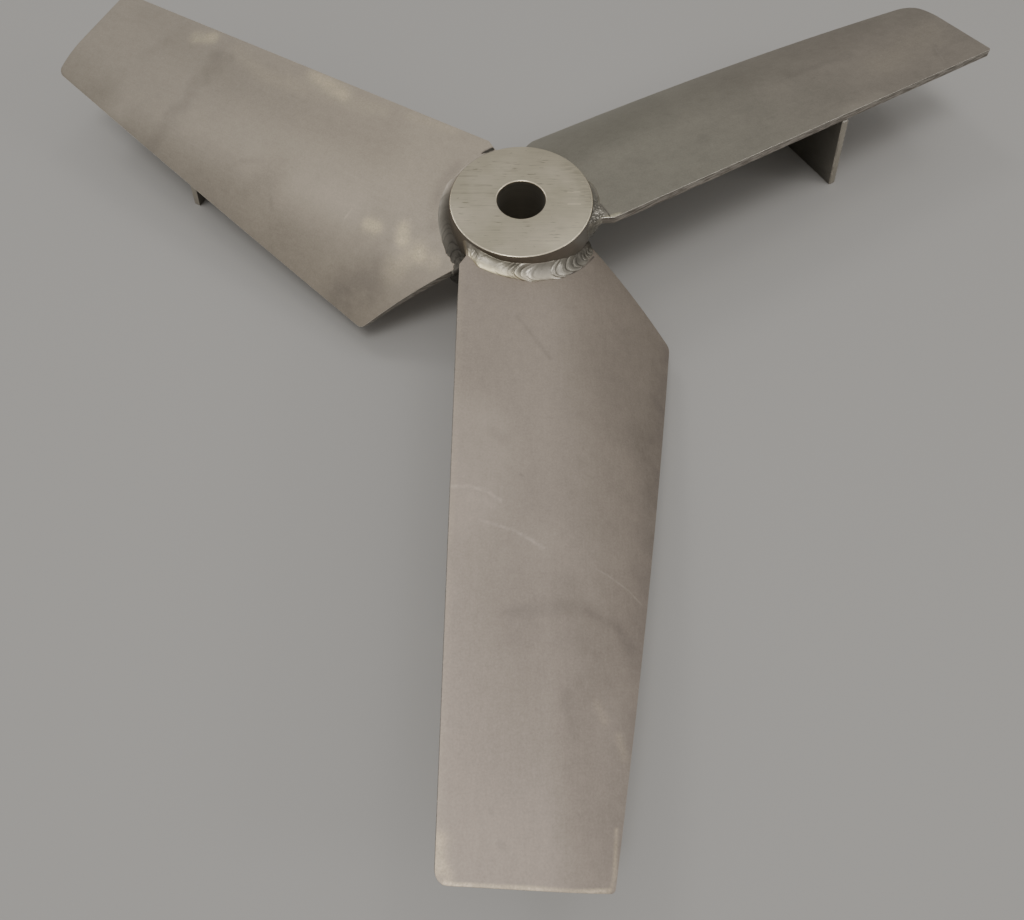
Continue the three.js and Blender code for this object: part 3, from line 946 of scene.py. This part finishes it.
# How far each root bead runs out on its plate and up the hub, in millimetres, by the angle around the
# hub in degrees
ROOT_OUT = {
    "front": (
        (-47, 6.2), (-39, 6.2), (-31, 6.8), (-12, 6.1), (-4, 5.7), (4, 6.0), (8, 6.8), (14, 6.3),
        (30, 6.7), (37, 5.9), (52, 5.8), (60, 5.2), (72, 5.5),
    ),
    "right": (
        (-47, 10.2), (-43.5, 9.2), (-40, 8.0), (-36, 6.8), (-31, 5.6), (-26, 4.4), (-17, 5.2),
        (-6, 6.2), (72, 6.5),
    ),
    "left": (
        (-47, 7), (-8, 7), (2, 8.6), (12, 8.3), (22, 8.0), (30, 7.8), (38, 7.3), (46, 7.1), (52, 6.9),
        (57, 7.8), (60, 7.6), (63, 7.3), (66, 7.7), (69, 8.9), (72, 10.4),
    ),
}
ROOT_UP = {
    "front": (
        (-47, 2.8), (-40, 3.6), (-32, 4.2), (-16, 4.3), (-7, 5.1), (2, 5.9), (20, 6.4), (32, 6.1),
        (43, 4.8), (52, 3.4), (62, 2.2), (72, 1.8),
    ),
    "right": ((-47, 2.6), (-40, 2.6), (-20, 3.6), (10, 5.0), (50, 4.5), (72, 2.4)),
    "left": ((-47, 2.6), (-20, 3.4), (10, 5.0), (30, 5.6), (45, 4.6), (58, 3.0), (72, 2.0)),
}
UNDER_OUT = {
    "front": ((-47, 7.5), (-38, 6.5)),
    "right": ((-47, 7.5), (-38, 6.5)),
    "left": ((-47, 7.5), (-38, 6.5), (50, 6.5), (66, 9.2), (72, 9.8)),
}
UNDER_UP = {
    "front": ((-47, 9.0), (-36, 5.0)),
    "right": ((-47, 12.0), (-36, 5.0)),
    "left": ((-47, 9.0), (-36, 5.0), (52, 5.0), (64, 15.0), (72, 17.0)),
}
# How far the ends of the loop swing out over the hub and beside the plate, in millimetres
END_UP = {"lead": 4.2, "trail": 4.4}
END_OUT = 1.2


def hub_point(angle, height, radius=HUB_RADIUS):
    return Vector((radius * math.sin(angle), -radius * math.cos(angle), height))


# How far the bead's run over the plate bends from straight outwards towards the plate's own edges, in
# degrees, by the angle around the hub
LAY_BEND = {
    "front": ((-47, 46), (-24, 0), (54, 0), (72, -25.2)),
    "right": ((-47, 46), (-24, 0), (54, 0), (72, -25.2)),
    "left": ((-47, 46), (-24, 0), (54, 0), (72, -13)),
}
BESIDE_HUB = 1.2 * MM


def out_from_hub(name, angle, out):
    """Place in plan, out from the hub's side over the plate."""
    lay = angle + math.radians(between(LAY_BEND[name], math.degrees(angle)))
    return hub_point(angle, 0) + out * Vector((math.sin(lay), -math.cos(lay), 0))


def side_station(name, angle, side):
    """Station at an angle around the hub, over the plate, side 1, or under it, side -1."""
    degrees = math.degrees(angle)
    outs, ups = (ROOT_OUT, ROOT_UP) if side > 0 else (UNDER_OUT, UNDER_UP)
    out = between(outs[name], degrees) * MM
    up = between(ups[name], degrees) * MM
    low = plate_height(out_from_hub(name, angle, BESIDE_HUB), side)
    corner = hub_point(angle, low)
    on_hub = hub_point(angle, low + side * up, HUB_RADIUS - SUNK_IN_HUB)
    place = out_from_hub(name, angle, out)
    on_plate = Vector((place.x, place.y, plate_height(place, side) - side * SUNK_IN_PLATE))
    return corner, on_plate, on_hub


def end_station(name, end, share):
    """Station at one end of the plate: share runs from 0 at its upper face to 1 at its underside."""
    turn = -1 if end == "lead" else 1
    angle = ROOT_LEAD if end == "lead" else ROOT_TRAIL
    top = side_station(name, angle - turn * ROOT_MARGIN, 1)
    under = side_station(name, angle - turn * ROOT_MARGIN, -1)
    phase = math.pi * share
    up = END_UP[end] * MM
    corner = hub_point(angle, top[0].z + (under[0].z - top[0].z) * share)
    above = top[2].z - top[0].z
    below = under[0].z - under[2].z
    rise = math.cos(phase) * (above if share < 0.5 else below)
    swung = angle + turn * math.sin(phase) * up / HUB_RADIUS
    on_hub = hub_point(swung, corner.z + rise, HUB_RADIUS - SUNK_IN_HUB)
    sideways = Vector((math.cos(angle), math.sin(angle), 0)) * turn
    on_plate = top[1].lerp(under[1], share) + sideways * math.sin(phase) * END_OUT * MM
    return corner, on_plate, on_hub


def root_stations(name):
    """A loop over the plate's upper face, round its trailing end, back underneath and round its
    leading end."""
    span = ROOT_TRAIL - ROOT_LEAD
    steps = round(span * HUB_RADIUS / STEP)
    angles = [ROOT_LEAD + ROOT_MARGIN + (span - 2 * ROOT_MARGIN) * i / steps for i in range(steps + 1)]
    ends = [i / END_STEPS for i in range(1, END_STEPS)]
    loop = [side_station(name, angle, 1) for angle in angles]
    loop += [end_station(name, "trail", share) for share in ends]
    loop += [side_station(name, angle, -1) for angle in reversed(angles)]
    loop += [end_station(name, "lead", 1 - share) for share in ends]
    return loop


def place_on_blade(piece, index, material, *replaced):
    piece.data.transform(Matrix.Rotation(blade_turn(index), 4, "Z"))
    piece.data.materials.append(material)
    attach(piece, "root")
    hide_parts(*replaced)


def calm_share(name):
    """How calm a root bead is, by the share of its loop. The first 0.48 is its upper side."""
    def calm(share):
        if name == "front":
            lead = 1 - max(0.0, share - 0.14) / 0.02
            pause = min(0.9, 1.3 * peak(share, 0.246, 0.038))
            return clipped(max(lead, pause, (share - 0.9) / 0.05))
        if name == "left":
            return clipped(1 - (share - 0.3) / 0.06, 0.25, 0.9)
        return 0.6

    return calm


ROOT_SHAPES = {"front": PLUMP, "right": EVEN, "left": HOLLOW}


def shape_share(name):
    """Shape across a root bead. The left one swells to a lobe under its trailing end."""
    def shape(share):
        plain = ROOT_SHAPES[name]
        swell = max(0.0, peak(share, 0.52, 0.035)) if name == "left" else 0.0
        return tuple(
            tuple(a + (b - a) * swell for a, b in zip(handle, full))
            for handle, full in zip(plain, LOBE)
        )

    return shape


LEAD_LUMPS = {"front": 0.22, "right": 1.0, "left": 0.0}
TRAIL_LUMPS = 0.3


def lump_share(name):
    """How lumpy a root bead is, by the share of its loop: most at its ends."""
    def lumps(share):
        lead = max(0.0, 1.4 - share / 0.06) + max(0.0, 1.4 - (1 - share) / 0.08)
        trail = max(0.0, peak(share, 0.47, 0.1))
        return min(1.0, LEAD_LUMPS[name] * lead + TRAIL_LUMPS * trail)

    return lumps


FIN = surface(nodes["fin_front"])
BEYOND_TIP = -0.5
FIN_WELD_LEG = 3.9 * MM
FIN_WELD_STEPS = 200
FIN_WELD_MARGIN = 0.5 * MM
FIN_PROBE = 2 * MM
FIN_GAP = 0.3 * MM
FIN_PITCHES = ((0, 3.4),)
FIN_RIPPLES = 0.4 * MM
FIN_RAGGED = 0.5 * MM
FIN_SEED = 31


def fin_face(x, z, side):
    """Place of the front blade's fin, met from outside, side 1, or from the hub, side -1."""
    return FIN.ray_cast(Vector((x, BEYOND_TIP if side > 0 else 0.0, z)), Vector((0, side, 0)))[0]


def fin_stations(side):
    """Stations under the front blade, along its fin's outer face, side 1, or its inner one, side -1."""
    low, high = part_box("fin_weld_outer_front" if side > 0 else "fin_weld_inner_front")
    middle = (low.y + high.y) / 2
    stations = []
    for i in range(FIN_WELD_STEPS + 1):
        x = low.x + FIN_WELD_MARGIN + (high.x - low.x - 2 * FIN_WELD_MARGIN) * i / FIN_WELD_STEPS
        under = plate_height(Vector((x, middle, 0)), -1)
        near = fin_face(x, under - FIN_PROBE, side)
        below = fin_face(x, under - FIN_GAP - FIN_WELD_LEG, side)
        corner = Vector((x, near.y, plate_height(near, -1)))
        on_plate = corner + Vector((0, -side * FIN_WELD_LEG, 0))
        on_plate.z = plate_height(on_plate, -1) + SUNK_IN_PLATE
        on_fin = below + Vector((0, side * SUNK_IN_FIN, 0))
        stations.append((corner, on_plate, on_fin))
    return stations


def add_fin_weld(name, index, side, material):
    stations = fin_stations(1 if side == "outer" else -1)
    seed = FIN_SEED + 2 * index + (side == "outer")
    piece = bead(f"fin_bead_{side}_{name}", stations, seed, FIN_PITCHES, FIN_RIPPLES, FIN_RAGGED)
    place_on_blade(piece, index, material, f"fin_weld_{side}_{name}")


ROOT_SEED = 11
# Pitches, depth and raggedness of each root bead's ripples, in millimetres
ROOT_BEADS = {
    "front": (((0.1, 4), (0.15, 2.2), (0.18, 2.2), (0.2, 4.5), (0.26, 3.4), (0.3, 4.4)), 0.5, 0.9),
    "right": (((0, 3.7),), 0.42, 0.5),
    "left": (((0, 4.4), (0.3, 3.2)), 0.36, 0.25),
}


def add_root_weld(name, index, material):
    pitches, depth, ragged = ROOT_BEADS[name]
    piece = bead(
        f"root_bead_{name}", root_stations(name), ROOT_SEED + index, pitches, depth * MM, ragged * MM,
        shape_share(name), calm_share(name), lump_share(name), closed=True,
    )
    replaced = [f"root_weld_{part}_{name}" for part in ("top", "under", "lead_end", "trail_end")]
    place_on_blade(piece, index, material, *replaced)


# Building

# Weld metal of each blade's root, and of the fins: its name, its roughness, its bands and the two
# colours along its toe. The bands' colours are painted light and shade: darker by the hub and at the
# shaded ends, lighter where the light catches the bead
ROOT_METAL = {
    "front": ("weld_silver", 0.4, (
        (-26, (0.8, 0.7, 0.475), (0.4, 0.365, 0.3)),
        (-23, (0.78, 0.685, 0.46), (0.27, 0.247, 0.2)),
        (-17, (0.66, 0.575, 0.36), (0.25, 0.228, 0.18)),
        (-3, (0.7, 0.61, 0.42), (0.3, 0.275, 0.22)),
        (4, (0.82, 0.73, 0.56), (0.52, 0.48, 0.405)),
        (14, (0.78, 0.7, 0.56), (0.46, 0.425, 0.36)),
        (21, (0.6, 0.55, 0.46), (0.32, 0.297, 0.25)),
        (30, (0.5, 0.465, 0.395), (0.28, 0.26, 0.222)),
    ), ((0.24, 0.225, 0.2), (0.62, 0.585, 0.52))),
    "right": ("weld_rough", 0.3, (
        (-33, (0.2, 0.185, 0.16), (0.16, 0.148, 0.128)),
        (-28, (0.56, 0.522, 0.443), (0.3, 0.28, 0.24)),
        (-10, (0.6, 0.56, 0.475), (0.34, 0.318, 0.272)),
        (20, (0.42, 0.39, 0.33), (0.26, 0.24, 0.205)),
    ), ((0.14, 0.13, 0.112), (0.4, 0.375, 0.32))),
    "left": ("weld_grey", 0.52, (
        (-29, (0.1, 0.094, 0.08), (0.1, 0.094, 0.08)),
        (-20, (0.54, 0.475, 0.395), (0.3, 0.268, 0.224)),
        (1, (0.54, 0.475, 0.395), (0.3, 0.268, 0.224)),
        (14, (0.32, 0.296, 0.255), (0.21, 0.192, 0.162)),
        (28, (0.3, 0.277, 0.238), (0.19, 0.174, 0.148)),
        (36, (0.13, 0.12, 0.103), (0.1, 0.092, 0.078)),
    ), ((0.1, 0.092, 0.078), (0.27, 0.25, 0.215))),
}
FIN_METAL = (
    "weld_fin", 0.34, ((0, (0.5, 0.465, 0.395), (0.3, 0.28, 0.24)),),
    ((0.2, 0.186, 0.16), (0.45, 0.42, 0.36)),
)

add_camera()
plate_edge = edge_material("rubbed_edge", dull=(0.8, 0.745, 0.64), bright=(1.0, 0.95, 0.84))
fin_edge = edge_material("sheared_edge", dull=(0.42, 0.39, 0.335), bright=(0.62, 0.575, 0.5))
root_welds = [weld_material(index, *ROOT_METAL[name]) for index, name in enumerate(BLADES)]
fin_weld = weld_material(0, *FIN_METAL)
dress(nodes["hub"], hub_material())
for index, name in enumerate(BLADES):
    dress(nodes[f"blade_{name}"], plate_material(name, index), plate_edge)
    dress(nodes[f"fin_{name}"], fin_material(name, index), fin_edge)
    add_root_weld(name, index, root_welds[index])
    for side in ("inner", "outer"):
        add_fin_weld(name, index, side, fin_weld)


# Floor and light

FLOOR_HALF = 60.0
FLOOR_COLOUR = (0.46, 0.446, 0.424, 1)
FLOOR_ROUGHNESS = 0.8
HORIZON = (0.151, 0.157, 0.162, 1)
OVERHEAD = (1.0, 0.985, 0.96, 1)
OVERHEAD_FROM = 0.95
SKY_STRENGTH = 0.62


def add_floor():
    mesh = bpy.data.meshes.new("floor")
    corners = [(x * FLOOR_HALF, y * FLOOR_HALF, 0) for x, y in ((-1, -1), (1, -1), (1, 1), (-1, 1))]
    mesh.from_pydata(corners, [], [(0, 1, 2, 3)])
    floor = bpy.data.objects.new("floor", mesh)
    bpy.context.scene.collection.objects.link(floor)
    material = bpy.data.materials.new("floor")
    material.use_nodes = True
    shader = material.node_tree.nodes["Principled BSDF"]
    shader.inputs["Base Color"].default_value = FLOOR_COLOUR
    shader.inputs["Roughness"].default_value = FLOOR_ROUGHNESS
    mesh.materials.append(material)


def add_sky():
    """Soft light that is bright overhead and dims towards the horizon."""
    world = bpy.data.worlds.new("room")
    world.use_nodes = True
    tree = world.node_tree
    texture = tree.nodes.new("ShaderNodeTexCoord")
    split = tree.nodes.new("ShaderNodeSeparateXYZ")
    ramp = tree.nodes.new("ShaderNodeValToRGB")
    tree.links.new(texture.outputs["Generated"], split.inputs[0])
    tree.links.new(split.outputs["Z"], ramp.inputs["Fac"])
    ramp.color_ramp.interpolation = "LINEAR"
    low, high = ramp.color_ramp.elements
    low.position, low.color = 0.0, HORIZON
    high.position, high.color = OVERHEAD_FROM, OVERHEAD
    background = tree.nodes["Background"]
    tree.links.new(ramp.outputs["Color"], background.inputs["Color"])
    background.inputs["Strength"].default_value = SKY_STRENGTH
    bpy.context.scene.world = world


def add_lamp(name, azimuth, elevation, distance, size, watts):
    """A square soft light aimed at the hub; azimuth is from +Y towards +X."""
    a = math.radians(azimuth)
    e = math.radians(elevation)
    place = distance * Vector((math.sin(a) * math.cos(e), math.cos(a) * math.cos(e), math.sin(e)))
    data = bpy.data.lights.new(name, "AREA")
    data.size = size
    data.energy = watts
    lamp = bpy.data.objects.new(name, data)
    lamp.location = place
    lamp.rotation_euler = place.to_track_quat("Z", "Y").to_euler()
    bpy.context.scene.collection.objects.link(lamp)


add_floor()
add_sky()
add_lamp("lamp_left", azimuth=-45, elevation=48, distance=2.4, size=0.5, watts=4)
add_lamp("lamp_right", azimuth=37, elevation=55, distance=2.4, size=0.5, watts=2)
add_lamp("lamp_over", azimuth=-160, elevation=72, distance=2.2, size=0.8, watts=12)
add_lamp("lamp_side", azimuth=104, elevation=28, distance=2.2, size=0.5, watts=3)
